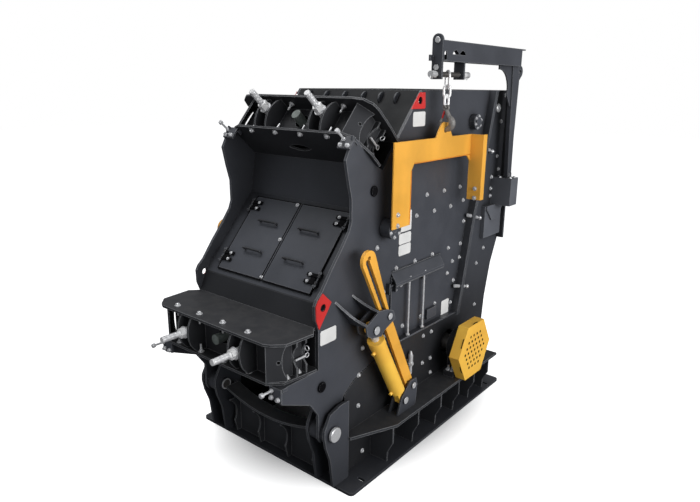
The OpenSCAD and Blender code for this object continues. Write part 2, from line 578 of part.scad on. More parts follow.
module lift_beam() place() color([0.95, 0.70, 0.15]) {
    // flat plate with the front leg and the horn that the hook holds
    difference() {
        yz(jib_x - 6, 12)
            polygon([[597, 2114], [849, 2114], [849, 2570], [890, 2625], [1836, 2625], [1836, 2810],
                     [1482, 2810], [1447, 2866], [1428, 2905], [1392, 2936], [1338, 2938], [1300, 2925],
                     [1256, 2876], [1213, 2810], [597, 2810]]);
        rod_x(jib_x - 20, jib_x + 20, [chain_y, hook_z - hook_bow + hook_wire + 1 - 24], 24);
    }
    // rear leg folded round, with its flange and a small gusset
    translate([jib_x - 6, 1836, 2200]) cube([140, 12, 610]);
    translate([jib_x + 122, 1847, 2200]) cube([12, 60, 610]);
    yz(jib_x - 6, 12) polygon([[1835, 2560], [1835, 2630], [1760, 2630]]);
}

base_plate();
base_front();
base_rear();
shelf_r();
shelf_l();
ears_r();
ears_l();
fixed_side_r();
fixed_side_l();
feed_box();
bearing_r();
bearing_l();
shaft_guard();
rotor();
blow_bars();
ram_foot_r();
ram_foot_l();
jib_socket();
swing_side_r();
swing_side_l();
door_frame();
upper_beam();
lower_beam();
roof();
apron_upper();
apron_lower();
rods_upper();
rods_lower();
arm_bracket_r();
arm_bracket_l();
door_r();
door_l();
barrel_r();
barrel_l();
piston_r();
piston_l();
strut_r();
strut_l();
jib();
chain_hook();
lift_beam();
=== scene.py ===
# %% [markdown]
# # A stationary impact crusher
#
# This lesson dresses a horizontal shaft impact crusher: a dark slate steel housing about three metres
# high that opens like a jaw on a hinge at its foot. The steel pieces arrive ready made, each in its
# place. Here they get paint, bolts, threads, washers and light.
# The first cell loads the pieces and remembers the size of the whole machine.

# %% Load the steelwork
import bpy
import bmesh
import math
from mathutils import Vector, Matrix


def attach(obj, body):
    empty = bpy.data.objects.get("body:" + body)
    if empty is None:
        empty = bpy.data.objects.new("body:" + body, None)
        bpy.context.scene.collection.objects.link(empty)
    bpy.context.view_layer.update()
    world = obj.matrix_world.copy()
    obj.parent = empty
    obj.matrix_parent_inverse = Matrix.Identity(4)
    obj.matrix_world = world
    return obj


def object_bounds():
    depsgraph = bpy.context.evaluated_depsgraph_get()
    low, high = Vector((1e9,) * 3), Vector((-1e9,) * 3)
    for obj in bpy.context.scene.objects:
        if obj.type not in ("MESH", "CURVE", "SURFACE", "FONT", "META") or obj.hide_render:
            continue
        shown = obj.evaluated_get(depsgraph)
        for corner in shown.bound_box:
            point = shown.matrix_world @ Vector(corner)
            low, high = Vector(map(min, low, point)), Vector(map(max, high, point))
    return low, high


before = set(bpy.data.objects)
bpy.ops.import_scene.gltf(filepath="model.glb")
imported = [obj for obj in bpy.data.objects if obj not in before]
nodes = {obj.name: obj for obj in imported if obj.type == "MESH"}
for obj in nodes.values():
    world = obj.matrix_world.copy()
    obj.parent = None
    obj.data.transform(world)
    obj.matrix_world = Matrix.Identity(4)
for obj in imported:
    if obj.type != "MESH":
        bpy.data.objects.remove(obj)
steel_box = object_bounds()
low, high = Vector(steel_box[0]), Vector(steel_box[1])
print("steelwork", [round(v, 3) for v in high - low], "m, pieces", len(nodes))

# %% [markdown]
# The camera stands where a visitor would, a few steps off the front corner and a little above head
# height, with a moderately wide lens. Its direction is given by two turns, round the machine and up,
# and a slight roll, so that the upright lines lean as they would to the eye.

# %% Camera
VIEW_TURN = math.radians(38.77)
VIEW_RISE = math.radians(15.30)
VIEW_ROLL = math.radians(0.663)
back = Vector((math.sin(VIEW_TURN) * math.cos(VIEW_RISE), -math.cos(VIEW_TURN) * math.cos(VIEW_RISE),
               math.sin(VIEW_RISE)))
level_right = (-back).cross(Vector((0, 0, 1))).normalized()
level_up = back.cross(level_right)
right = level_right * math.cos(VIEW_ROLL) + level_up * math.sin(VIEW_ROLL)
up = level_up * math.cos(VIEW_ROLL) - level_right * math.sin(VIEW_ROLL)

camera = bpy.data.objects.new("camera", bpy.data.cameras.new("camera"))
camera.data.lens = 31.13
camera.data.sensor_width = 36.0
camera.data.shift_x = -0.00271
camera.data.shift_y = -0.00229
camera.data.clip_end = 200.0
camera.matrix_world = Matrix((right, up, back)).transposed().to_4x4()
camera.location = (3.573, -4.630, 3.247)
bpy.context.scene.collection.objects.link(camera)
bpy.context.scene.camera = camera
print("camera", [round(v, 2) for v in camera.location], "m")

# %% [markdown]
# Dark satin paint shows its shape by what it mirrors, so the light is a bright room: a pale world, one
# very large soft lamp over the near side and a smaller one from the front. Sloping and upward faces then
# read lighter than the front ones. The pale world shows white behind the machine, and lights it softly.

# %% Light
scene = bpy.context.scene
scene.view_settings.view_transform = "Standard"


def area_lamp(name, at, aim, size, power, spread):
    lamp = bpy.data.objects.new(name, bpy.data.lights.new(name, "AREA"))
    lamp.data.shape = "RECTANGLE"
    lamp.data.size, lamp.data.size_y = size
    lamp.data.energy = power
    lamp.data.spread = math.radians(spread)
    lamp.location = at
    lamp.rotation_euler = (Vector(aim) - Vector(at)).to_track_quat("-Z", "Y").to_euler()
    scene.collection.objects.link(lamp)
    return lamp


area_lamp("lamp_side", (7.6, -0.5, 3.3), (0.7, 0.2, 1.7), (9.0, 3.2), 250, 110)
area_lamp("lamp_front", (2.0, -8.0, 3.6), (0.0, -0.4, 1.8), (4.0, 3.0), 18, 75)
area_lamp("lamp_top", (-1.5, -1.8, 9.0), (0.0, -0.2, 1.5), (4.0, 4.0), 90, 90)

world = bpy.data.worlds.new("room")
scene.world = world
world.use_nodes = True
tree = world.node_tree
tree.nodes.clear()
out = tree.nodes.new("ShaderNodeOutputWorld")
choose = tree.nodes.new("ShaderNodeMixShader")
white = tree.nodes.new("ShaderNodeBackground")
room = tree.nodes.new("ShaderNodeBackground")
path = tree.nodes.new("ShaderNodeLightPath")
white.inputs["Color"].default_value = (1, 1, 1, 1)
white.inputs["Strength"].default_value = 1.0
room.inputs["Color"].default_value = (0.93, 0.96, 1.0, 1)
room.inputs["Strength"].default_value = 0.22
tree.links.new(path.outputs["Is Camera Ray"], choose.inputs["Fac"])
tree.links.new(room.outputs[0], choose.inputs[1])
tree.links.new(white.outputs[0], choose.inputs[2])
tree.links.new(choose.outputs[0], out.inputs["Surface"])

# %% [markdown]
# The floor is a pale sheet that keeps a soft shadow beside the base plate. Further out it glows a
# little, so that it runs into the white behind without a line.

# %% Floor
FLOOR_HALF = 40.0
GLOW_FROM, GLOW_FULL = 1.2, 1.9
floor_mesh = bpy.data.meshes.new("floor")
floor_mesh.from_pydata([(-FLOOR_HALF, -FLOOR_HALF, 0), (FLOOR_HALF, -FLOOR_HALF, 0),
                        (FLOOR_HALF, FLOOR_HALF, 0), (-FLOOR_HALF, FLOOR_HALF, 0)], [], [(0, 1, 2, 3)])
floor = bpy.data.objects.new("floor", floor_mesh)
scene.collection.objects.link(floor)
paint = bpy.data.materials.new("floor_paint")
paint.use_nodes = True
add, link = paint.node_tree.nodes.new, paint.node_tree.links.new
shader = paint.node_tree.nodes["Principled BSDF"]
shader.inputs["Roughness"].default_value = 0.9
shader.inputs["Emission Color"].default_value = (1, 1, 1, 1)
seen = add("ShaderNodeLightPath").outputs["Is Camera Ray"]
tone = add("ShaderNodeMix")
tone.data_type = "RGBA"
tone.inputs[6].default_value = (0.16, 0.16, 0.17, 1)
tone.inputs[7].default_value = (0.86, 0.86, 0.86, 1)
place = add("ShaderNodeTexCoord")
off_base = add("ShaderNodeVectorMath")
off_base.operation = "MULTIPLY"
off_base.inputs[1].default_value = (1.35, 1.0, 1.0)
reach = add("ShaderNodeVectorMath")
reach.operation = "LENGTH"
fade = add("ShaderNodeMapRange")
for socket, number in (("From Min", GLOW_FROM), ("From Max", GLOW_FULL), ("To Min", 0.0), ("To Max", 0.95)):
    fade.inputs[socket].default_value = number
lift = add("ShaderNodeMath")
lift.operation = "MULTIPLY"
link(seen, tone.inputs[0])
link(tone.outputs[2], shader.inputs["Base Color"])
link(place.outputs["Object"], off_base.inputs[0])
link(off_base.outputs[0], reach.inputs[0])
link(reach.outputs["Value"], fade.inputs["Value"])
link(seen, lift.inputs[0])
link(fade.outputs["Result"], lift.inputs[1])
link(lift.outputs[0], shader.inputs["Emission Strength"])
floor_mesh.materials.append(paint)
print("floor", 2 * FLOOR_HALF, "m wide")

# %% [markdown]
# The housing is sprayed with a satin slate paint. Sprayed steel is never one flat tone: the coat is a
# little thicker in places, dust settles on what faces up, and the surface has a fine orange peel. One
# function makes every paint here, from its colour, so that slate, yellow and red share the same skin.
# A small rounding of the shading at the edges, and a paler colour laid on open, narrow edges as a
# painted highlight, give each plate a thin bright line. Corners and creases are darkened by ambient
# occlusion: painted shade.

# %% Paint
def blank_material(name):
    """An empty node material with its output and one shader."""
    made = bpy.data.materials.new(name)
    made.use_nodes = True
    made.node_tree.nodes.clear()
    ends = made.node_tree.nodes.new("ShaderNodeOutputMaterial")
    shader = made.node_tree.nodes.new("ShaderNodeBsdfPrincipled")
    made.node_tree.links.new(shader.outputs[0], ends.inputs["Surface"])
    return made, made.node_tree, shader


def object_noise(tree, scale, detail=4.0, stretch=(1, 1, 1)):
    """Noise laid through the piece in metres."""
    place = tree.nodes.new("ShaderNodeTexCoord")
    mapping = tree.nodes.new("ShaderNodeMapping")
    mapping.inputs["Scale"].default_value = stretch
    noise = tree.nodes.new("ShaderNodeTexNoise")
    noise.inputs["Scale"].default_value = scale
    noise.inputs["Detail"].default_value = detail
    tree.links.new(place.outputs["Object"], mapping.inputs["Vector"])
    tree.links.new(mapping.outputs[0], noise.inputs["Vector"])
    return noise.outputs["Fac"]


def spread(tree, value, low_in, high_in, low_out, high_out):
    """Maps one range of a value to another."""
    node = tree.nodes.new("ShaderNodeMapRange")
    tree.links.new(value, node.inputs["Value"])
    for socket, number in (("From Min", low_in), ("From Max", high_in),
                           ("To Min", low_out), ("To Max", high_out)):
        node.inputs[socket].default_value = number
    return node.outputs["Result"]


def times(tree, one, two):
    """The product of two values."""
    node = tree.nodes.new("ShaderNodeMath")
    node.operation = "MULTIPLY"
    tree.links.new(one, node.inputs[0])
    tree.links.new(two, node.inputs[1])
    return node.outputs[0]


def mix_colours(tree, factor, one, two):
    """Mixes two colours or colour outputs by a factor output."""
    node = tree.nodes.new("ShaderNodeMix")
    node.data_type = "RGBA"
    tree.links.new(factor, node.inputs[0])
    for socket, colour in ((node.inputs[6], one), (node.inputs[7], two)):
        if isinstance(colour, tuple):
            socket.default_value = (*colour, 1.0)
        else:
            tree.links.new(colour, socket)
    return node.outputs[2]


def skin(tree, shader, fine, fine_scale, coarse, edge):
    """Bump from a fine and a coarse noise, over edges that shade as if rounded by edge metres."""
    rounded = tree.nodes.new("ShaderNodeBevel")
    rounded.samples = 4
    rounded.inputs["Radius"].default_value = edge
    last = rounded.outputs["Normal"]
    for strength, scale in ((coarse, 9.0), (fine, fine_scale)):
        bump = tree.nodes.new("ShaderNodeBump")
        bump.inputs["Strength"].default_value = strength
        bump.inputs["Distance"].default_value = 0.002
        tree.links.new(object_noise(tree, scale), bump.inputs["Height"])
        tree.links.new(last, bump.inputs["Normal"])
        last = bump.outputs["Normal"]
    tree.links.new(last, shader.inputs["Normal"])


DUST = (0.36, 0.34, 0.31)
# EDGE_HIGHLIGHT is the pale colour laid on open edges: a painted highlight.
EDGE_HIGHLIGHT = (0.19, 0.195, 0.205)
SLATE = (0.057, 0.061, 0.073)


def crease_shade(tree, depth):
    """How open the surface is, by ambient occlusion: 1 in the open and down to 1 - depth in corners, for
    painted shade.
    """
    open_air = tree.nodes.new("ShaderNodeAmbientOcclusion")
    open_air.samples = 6
    open_air.inputs["Distance"].default_value = 0.70
    return spread(tree, open_air.outputs["AO"], 0.44, 0.97, 1.0 - depth, 1.0)


def edge_share(tree, width):
    """1 on narrow edges and rims and 0 on open faces, from how far a rounded normal leans away."""
    rounded = tree.nodes.new("ShaderNodeBevel")
    rounded.samples = 6
    rounded.inputs["Radius"].default_value = width
    flat = tree.nodes.new("ShaderNodeNewGeometry")
    lean = tree.nodes.new("ShaderNodeVectorMath")
    lean.operation = "DOT_PRODUCT"
    tree.links.new(rounded.outputs["Normal"], lean.inputs[0])
    tree.links.new(flat.outputs["Normal"], lean.inputs[1])
    return spread(tree, lean.outputs["Value"], 0.99, 0.90, 0.0, 1.0)


def past_level(tree, direction, level, blur=0.0008, folded=False):
    """0 before a level along a direction and 1 past it, the same on both hands if folded."""
    place = tree.nodes.new("ShaderNodeTexCoord")
    reach = tree.nodes.new("ShaderNodeVectorMath")
    reach.operation = "DOT_PRODUCT"
    reach.inputs[1].default_value = direction
    tree.links.new(place.outputs["Object"], reach.inputs[0])
    along = reach.outputs["Value"]
    if folded:
        fold = tree.nodes.new("ShaderNodeMath")
        fold.operation = "ABSOLUTE"
        tree.links.new(along, fold.inputs[0])
        along = fold.outputs[0]
    return spread(tree, along, level - blur, level + blur, 0.0, 1.0)


def painted_steel(name, colour, gloss=0.42, dust=0.10, shade=0.85, edge=0.0, mirror=0.42,
                  other=None):
    """Sprayed paint: cloudy tone, settled dust, orange peel, painted shade in corners and rounded edges with a
    paler painted highlight.

    other is a second colour with the direction, level and, if wanted, blur where it takes over.
    """
    made, tree, shader = blank_material(name)
    lighter = tuple(min(1.0, c * 1.13 + 0.002) for c in colour)
    darker = tuple(c * 0.88 for c in colour)
    cloud = spread(tree, object_noise(tree, 2.2, 5.0), 0.35, 0.65, 0.0, 1.0)
    coat = mix_colours(tree, cloud, darker, lighter)
    if other:
        coat = mix_colours(tree, past_level(tree, *other[1:]), coat, other[0])
    facing = tree.nodes.new("ShaderNodeNewGeometry")
    split = tree.nodes.new("ShaderNodeSeparateXYZ")
    tree.links.new(facing.outputs["Normal"], split.inputs[0])
    up_share = spread(tree, split.outputs["Z"], 0.4, 1.0, 0.0, dust)
    patches = spread(tree, object_noise(tree, 14.0, 8.0), 0.38, 0.72, 0.25, 1.0)
    dusty = mix_colours(tree, times(tree, up_share, patches), coat, DUST)
    # painted shade: corners and creases darken towards 30 % of the colour
    open_share = crease_shade(tree, shade)
    coloured = mix_colours(tree, open_share, tuple(c * 0.30 for c in colour), dusty)
    # painted highlight: open, narrow edges turn towards the pale edge colour
    if edge:
        edge_highlight = times(tree, edge_share(tree, 0.011), spread(tree, open_share, 0.25, 0.75, 0.0, edge))
        coloured = mix_colours(tree, edge_highlight, coloured, EDGE_HIGHLIGHT)
    tree.links.new(coloured, shader.inputs["Base Color"])
    tree.links.new(spread(tree, object_noise(tree, 5.0, 6.0), 0.3, 0.7, gloss - 0.05, gloss + 0.09),
                   shader.inputs["Roughness"])
    shader.inputs["Specular IOR Level"].default_value = mirror
    skin(tree, shader, 0.10, 420.0, 0.05, 0.0022)
    return made


slate = painted_steel("slate_paint", SLATE, shade=0.92, edge=0.9)
# A darker copy of the slate paint for beams, bearings, feed box and the hood's edge strips: painted shade.
slate_shaded = painted_steel("slate_paint_inside", (0.030, 0.031, 0.035), 0.5, 0.06, 0.52, 1.0, 0.25)
yellow = painted_steel("yellow_paint", (0.79, 0.388, 0.050), 0.42, 0.03, 0.12)
# A brighter copy of the yellow for the shaft guard and the barrels: painted light.
yellow_lit = painted_steel("guard_yellow_paint", (0.99, 0.53, 0.070), 0.40, 0.02, 0.04)
red = painted_steel("red_paint", (0.62, 0.028, 0.026), 0.40, 0.03, 0.3)
print("paints", slate.name, slate_shaded.name, yellow.name, yellow_lit.name, red.name)

# %% [markdown]
# Bare metal comes in three kinds here: bright zinc on bolts, nuts and threaded rods, ground steel on
# pins and piston rods, and the dark, scuffed cast steel of rotor, blow bars and aprons. They differ in
# how sharp their mirror is and in how much dull oxide lies over it.

# %% Bare metals
def wandering(tree, shader, noise, bright, dull, rough, duller, metallic):
    """A shader that wanders by a noise between a bright, smoother state and a dull, rougher one."""
    wander = spread(tree, noise, 0.3, 0.7, 0.0, 1.0)
    tree.links.new(mix_colours(tree, wander, dull, bright), shader.inputs["Base Color"])
    tree.links.new(spread(tree, wander, 0.0, 1.0, rough + duller, rough), shader.inputs["Roughness"])
    shader.inputs["Metallic"].default_value = metallic


def bare_metal(name, bright, dull, rough, grain, stretch=(1, 1, 1), metallic=1.0, edge=0.0012):
    """Metal whose tone and sharpness wander between a bright and a dull state."""
    made, tree, shader = blank_material(name)
    wandering(tree, shader, object_noise(tree, grain, 8.0, stretch), bright, dull, rough, 0.12, metallic)
    skin(tree, shader, 0.12, grain * 12, 0.04, edge)
    return made


zinc = bare_metal("bright_zinc", (0.74, 0.75, 0.76), (0.52, 0.52, 0.54), 0.30, 40.0, metallic=0.45)
ground_steel = bare_metal("ground_steel", (0.80, 0.81, 0.82), (0.60, 0.60, 0.61), 0.28, 30.0, (1, 8, 8),
                          metallic=0.5)
worn_steel = bare_metal("worn_cast_steel", (0.20, 0.19, 0.185), (0.10, 0.095, 0.09), 0.42, 9.0,
                        metallic=0.75, edge=0.004)
print("metals", zinc.name, ground_steel.name, worn_steel.name)

# %% [markdown]
# Some pieces carry two finishes, such as a bright piston rod with a painted eye. Their material changes
# from one finish to the other where the piece passes a level along a direction.

# %% Coats that change along a piece
def two_tone(name, one, two, direction, level, folded=False):
    """A material that changes between two finishes: bright and dull tone, roughness, metal share."""
    made, tree, shader = blank_material(name)
    tree.nodes.remove(shader)
    ends = next(n for n in tree.nodes if n.type == "OUTPUT_MATERIAL")
    blend = tree.nodes.new("ShaderNodeMixShader")
    tree.links.new(blend.outputs[0], ends.inputs["Surface"])
    for i, (bright, dull, rough, metallic) in enumerate((one, two), start=1):
        part = tree.nodes.new("ShaderNodeBsdfPrincipled")
        wandering(tree, part, object_noise(tree, 26.0, 6.0), bright, dull, rough, 0.1, metallic)
        skin(tree, part, 0.10, 400.0, 0.04, 0.002)
        tree.links.new(part.outputs[0], blend.inputs[i])
    tree.links.new(past_level(tree, direction, level, folded=folded), blend.inputs[0])
    return made


SILVER = ((0.80, 0.81, 0.82), (0.62, 0.62, 0.63), 0.26, 0.5)
ZINC = ((0.92, 0.92, 0.92), (0.72, 0.72, 0.73), 0.34, 0.28)
YELLOW = ((0.90, 0.47, 0.060), (0.80, 0.41, 0.050), 0.42, 0.0)
GREY_GREEN = ((0.20, 0.23, 0.215), (0.12, 0.14, 0.13), 0.45, 0.1)
FORGED = ((0.26, 0.25, 0.24), (0.17, 0.165, 0.16), 0.45, 0.25)
UP = (0, 0, 1)
UP_THE_RAM = (0, -0.4925, 0.8703)
OFF_DOORS = (0, -math.sin(math.radians(48.5)), math.cos(math.radians(48.5)))
rod_and_eye = two_tone("rod_and_yellow_eye", SILVER, YELLOW, UP_THE_RAM, 1.594)
apron_rods = two_tone("zinc_rods_and_green_centre", GREY_GREEN, ZINC, (1, 0, 0), 0.11, folded=True)
hook_and_chain = two_tone("forged_hook_and_zinc_chain", FORGED, ZINC, UP, 3.082)
print("two finishes on", rod_and_eye.name, apron_rods.name, hook_and_chain.name)

# %% [markdown]
# Every ready made steel piece now gets its finish. Most are slate, in a few tones: the roof is darker,
# the beams, bearings, feed box and base take darker copies of the slate as painted shade, the fixed sides
# and the door frame darken towards the floor as painted shade, the jib socket takes a lighter copy as
# painted light, and the doors have black edges. The guards and lifting gear that a hand must find are
# yellow, the guard and barrels in a brighter copy that is painted light, and what wears or slides is bare.

# %% Dress the steelwork
roof_paint = painted_steel("roof_paint", (0.017, 0.018, 0.020), 0.55, 0.03, 0.85, 0.9, 0.15)
# The base takes a darker copy of the slate: painted shade.
base_paint = painted_steel("base_paint", (0.034, 0.036, 0.041), 0.46, 0.07, 0.50, 1.0, 0.34)
# The jib socket takes a lighter copy of the slate: painted light.
socket_paint = painted_steel("socket_paint", (0.105, 0.111, 0.127), shade=0.40, edge=0.5)
# The fixed sides are dark up to 1.35 m and near slate above: painted shade towards the floor.
fixed_side_paint = painted_steel("fixed_side_paint", (0.026, 0.027, 0.031), 0.46, 0.04, 0.92, 0.9, 0.35,
                                 ((0.055, 0.059, 0.070), UP, 1.35, 0.45))
door_paint = painted_steel("door_paint", SLATE, 0.42, 0.04, 0.8, 0.6, 0.42,
                           ((0.012, 0.012, 0.014), OFF_DOORS, 2.1455))
# The door frame is dark below 1.628 m and slate above: painted shade towards the floor.
door_frame_paint = painted_steel("door_frame_paint", (0.024, 0.025, 0.029), 0.42, 0.04, 0.9, 0.9, 0.35,
                                 (SLATE, UP, 1.628))
finish_of = {name: slate for name in nodes}
for finish, names in ((yellow, "strut_r strut_l lift_beam"),
                      (yellow_lit, "shaft_guard barrel_r barrel_l"),
                      (worn_steel, "rotor blow_bars apron_upper apron_lower"),
                      (slate_shaded, "bearing_r bearing_l lower_beam upper_beam feed_box"),
                      (base_paint, "base_front base_rear shelf_r shelf_l"),
                      (rod_and_eye, "piston_r piston_l"),
                      (apron_rods, "rods_upper rods_lower"),
                      (hook_and_chain, "chain_hook"),
                      (roof_paint, "roof"),
                      (socket_paint, "jib_socket"),
                      (fixed_side_paint, "fixed_side_r fixed_side_l"),
                      (door_paint, "door_r door_l"),
                      (door_frame_paint, "door_frame")):
    for name in names.split():
        finish_of[name] = finish
for name, piece in nodes.items():
    piece.data.materials.clear()
    piece.data.materials.append(finish_of[name])
print("dressed", len(nodes), "pieces")

# %% [markdown]
# Small parts are added on top of the steelwork. Their places are written in millimetres, the way a
# drawing gives them: x across the machine, y from the front edge of the base plate, z from the floor.
# A few small tools make most of them: a turned rod, a disc, a block, a ring, and a plate that is cut to
# an outline and may have round holes in it.

# %% Tools for small parts
def mm(x, y, z):
    """A point on the drawing, in metres in the scene."""
    return Vector((x / 1000, (y - 1330) / 1000, z / 1000))


def rod(bm, foot, axis, length, radius, top=None, sides=32):
    """A round rod from its foot along an axis, tapered if top differs, six sided for a nut."""
    turn = Vector(axis).to_track_quat("Z", "X").to_matrix().to_4x4()
    centre = mm(*foot) + Vector(axis).normalized() * length / 2000
    bmesh.ops.create_cone(bm, cap_ends=True, segments=sides, radius1=radius / 1000,
                          radius2=(radius if top is None else top) / 1000, depth=length / 1000,
                          matrix=Matrix.Translation(centre) @ turn)


def turned_disc(bm, foot, axis, length, radius, edge):
    """A short disc whose outer edge is chamfered."""
    rod(bm, foot, axis, length - edge, radius, sides=48)
    start = [c + a * (length - edge - 0.01) for c, a in zip(foot, Vector(axis).normalized())]
    rod(bm, start, axis, edge, radius, radius - edge, sides=48)


def block(bm, corner, size):
    """A rectangular block from its lowest corner."""
    centre = mm(*[c + d / 2 for c, d in zip(corner, size)])
    bmesh.ops.create_cube(bm, size=1.0, matrix=Matrix.Translation(centre) @ Matrix.Diagonal(
        [d / 1000 for d in size] + [1.0]))


def ring(bm, centre, axis, radius, wire):
    """A round ring of wire."""
    turn = Vector(axis).to_track_quat("Z", "X").to_matrix().to_4x4()
    place = Matrix.Translation(mm(*centre)) @ turn
    around, across = 28, 8
    loops = []
    for i in range(around):
        a = 2 * math.pi * i / around
        loops.append([bm.verts.new(place @ Vector(((radius + wire * math.cos(b)) * math.cos(a) / 1000,
                                                   (radius + wire * math.cos(b)) * math.sin(a) / 1000,
                                                   wire * math.sin(b) / 1000)))
                      for b in [2 * math.pi * k / across for k in range(across)]])
    for i in range(around):
        one, two = loops[i], loops[(i + 1) % around]
        for k in range(across):
            bm.faces.new((one[k], two[k], two[(k + 1) % across], one[(k + 1) % across]))


def add_piece(name, mesh, material, body):
    """Links a finished mesh as a piece of that body, smooth but for its sharp edges."""
    mesh.materials.clear()
    mesh.materials.append(material)
    mesh.shade_smooth()
    mesh.set_sharp_from_angle(angle=math.radians(35))
    made = bpy.data.objects.new(name, mesh)
    scene.collection.objects.link(made)
    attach(made, body)
    return made


def from_bmesh(name, bm, material, body, soften=0.0):
    """Makes a piece of a bmesh, its sharp edges cut back by soften millimetres."""
    if soften:
        sharp = [e for e in bm.edges if e.is_manifold and e.calc_face_angle(0) > math.radians(40)]
        bmesh.ops.bevel(bm, geom=sharp, offset=soften / 1000, segments=1, affect="EDGES", clamp_overlap=True)
    bmesh.ops.recalc_face_normals(bm, faces=bm.faces)
    mesh = bpy.data.meshes.new(name)
    bm.to_mesh(mesh)
    bm.free()
    return add_piece(name, mesh, material, body)


def mesh_of_curve(curve):
    """The mesh that a curve makes with its own depth and bevel."""
    carrier = bpy.data.objects.new(curve.name + "_carrier", curve)
    mesh = bpy.data.meshes.new_from_object(carrier)
    bpy.data.objects.remove(carrier)
    return mesh


def cut_plate(name, outline, holes, thickness, side_x, material, body):
    """A plate on a side wall, with an outline of (y, z) and holes of (y, z, radius) in millimetres."""
    curve = bpy.data.curves.new(name, "CURVE")
    curve.dimensions = "2D"
    curve.fill_mode = "BOTH"
    curve.extrude = (thickness / 2 - 0.5) / 1000
    curve.bevel_depth = 0.0005
    rounds = [[(y + r * math.cos(t), z + r * math.sin(t)) for t in [2 * math.pi * i / 40 for i in range(40)]]
              for y, z, r in holes]
    for points in [outline] + rounds:
        spline = curve.splines.new("POLY")
        spline.points.add(len(points) - 1)
        for point, (y, z) in zip(spline.points, points):
            point.co = ((y - 1330) / 1000, z / 1000, 0, 1)
        spline.use_cyclic_u = True
    mesh = mesh_of_curve(curve)
    out = 1 if side_x > 0 else -1
    mesh.transform(Matrix.Translation((side_x / 1000 + out * thickness / 2000, 0, 0))
                   @ Matrix(((0, 0, 1), (1, 0, 0), (0, 1, 0))).to_4x4())
    mesh.validate()
    return add_piece(name, mesh, material, body)


# %% [markdown]
# Every plate of the housing is held by bolts. One bolt with its washer is drawn once, in widths of its
# own head, and a node group sets it on every point it is given, seated on the plate and each turned a
# little differently, as a fitter leaves them. Its inputs are the head's width, the way it faces, how far
# the thread stands out, a seed and the material.

# %% Bolt group
def start_group(name, numbers):
    """A node group that takes a geometry, the named numbers and a material."""
    group = bpy.data.node_groups.new(name, "GeometryNodeTree")
    for title, kind, value in (("Geometry", "NodeSocketGeometry", None), *numbers,
                               ("Material", "NodeSocketMaterial", None)):
        socket = group.interface.new_socket(title, in_out="INPUT", socket_type=kind)
        if value is not None:
            socket.default_value = value
    group.interface.new_socket("Geometry", in_out="OUTPUT", socket_type="NodeSocketGeometry")
    add = group.nodes.new
    return group, add, group.links.new, add("NodeGroupInput"), add("NodeGroupOutput")


def finish_group(add, link, put, given, made):
    """Ends a group: the instances become real and get the given material."""
    real = add("GeometryNodeRealizeInstances")
    link(put.outputs["Instances"], real.inputs["Geometry"])
    coat = add("GeometryNodeSetMaterial")
    link(real.outputs["Geometry"], coat.inputs["Geometry"])
    link(given.outputs["Material"], coat.inputs["Material"])
    link(coat.outputs["Geometry"], made.inputs["Geometry"])


def bolt_group():
    """Sets a bolt with its washer on each point."""
    group, add, link, given, made = start_group("bolts_on_points", (
        ("Head width", "NodeSocketFloat", 0.03), ("Facing", "NodeSocketVector", (1.0, 0.0, 0.0)),
        ("Thread length", "NodeSocketFloat", 0.1), ("Seed", "NodeSocketInt", 1)))

    def drum(sides, radius, top, depth, lift):
        """A drum standing at lift, in head widths."""
        cone = add("GeometryNodeMeshCone")
        for socket, number in (("Vertices", sides), ("Radius Bottom", radius), ("Radius Top", top),
                               ("Depth", depth)):
            cone.inputs[socket].default_value = number
        move = add("GeometryNodeTransform")
        move.inputs["Translation"].default_value = (0, 0, lift)
        link(cone.outputs["Mesh"], move.inputs["Geometry"])
        return move.outputs["Geometry"], cone

    parts = add("GeometryNodeJoinGeometry")
    washer = drum(32, 0.88, 0.88, 0.13, -0.03)[0]
    head = drum(6, 0.577, 0.577, 0.52, 0.08)[0]
    crown = drum(24, 0.50, 0.42, 0.07, 0.59)[0]
    thread, thread_cone = drum(20, 0.30, 0.27, 0.1, 0.6)
    link(given.outputs["Thread length"], thread_cone.inputs["Depth"])
    for part in (washer, head, crown, thread):
        link(part, parts.inputs["Geometry"])
    points = add("GeometryNodeMeshToPoints")
    link(given.outputs["Geometry"], points.inputs["Mesh"])
    face = add("FunctionNodeAlignRotationToVector")
    face.axis = "Z"
    link(given.outputs["Facing"], face.inputs["Vector"])
    chance = add("FunctionNodeRandomValue")
    chance.data_type = "FLOAT"
    chance.inputs[3].default_value = 1.05
    link(given.outputs["Seed"], chance.inputs["Seed"])
    spin = add("FunctionNodeAxisAngleToRotation")
    spin.inputs["Axis"].default_value = (0, 0, 1)
    link(chance.outputs[1], spin.inputs["Angle"])
    turn = add("FunctionNodeRotateRotation")
    turn.rotation_space = "LOCAL"
    link(face.outputs["Rotation"], turn.inputs["Rotation"])
    link(spin.outputs["Rotation"], turn.inputs["Rotate By"])
    put = add("GeometryNodeInstanceOnPoints")
    link(points.outputs["Points"], put.inputs["Points"])
    link(parts.outputs["Geometry"], put.inputs["Instance"])
    link(turn.outputs["Rotation"], put.inputs["Rotation"])
    size = add("ShaderNodeCombineXYZ")
    for axis in "XYZ":
        link(given.outputs["Head width"], size.inputs[axis])
    link(size.outputs[0], put.inputs["Scale"])
    finish_group(add, link, put, given, made)
    return group


def through_nodes(name, mesh, group, values):
    """The mesh that a node group makes of a mesh, its inputs set by their names."""
    carrier = bpy.data.objects.new(name, mesh)
    scene.collection.objects.link(carrier)
    modifier = carrier.modifiers.new("nodes", "NODES")
    modifier.node_group = group
    named = {item.name: item.identifier for item in group.interface.items_tree if item.in_out == "INPUT"}
    for key, value in values.items():
        modifier[named[key]] = value
    bpy.context.view_layer.update()
    shaped = carrier.evaluated_get(bpy.context.evaluated_depsgraph_get())
    result = bpy.data.meshes.new_from_object(shaped)
    bpy.data.objects.remove(carrier)
    result.name = name
    return result


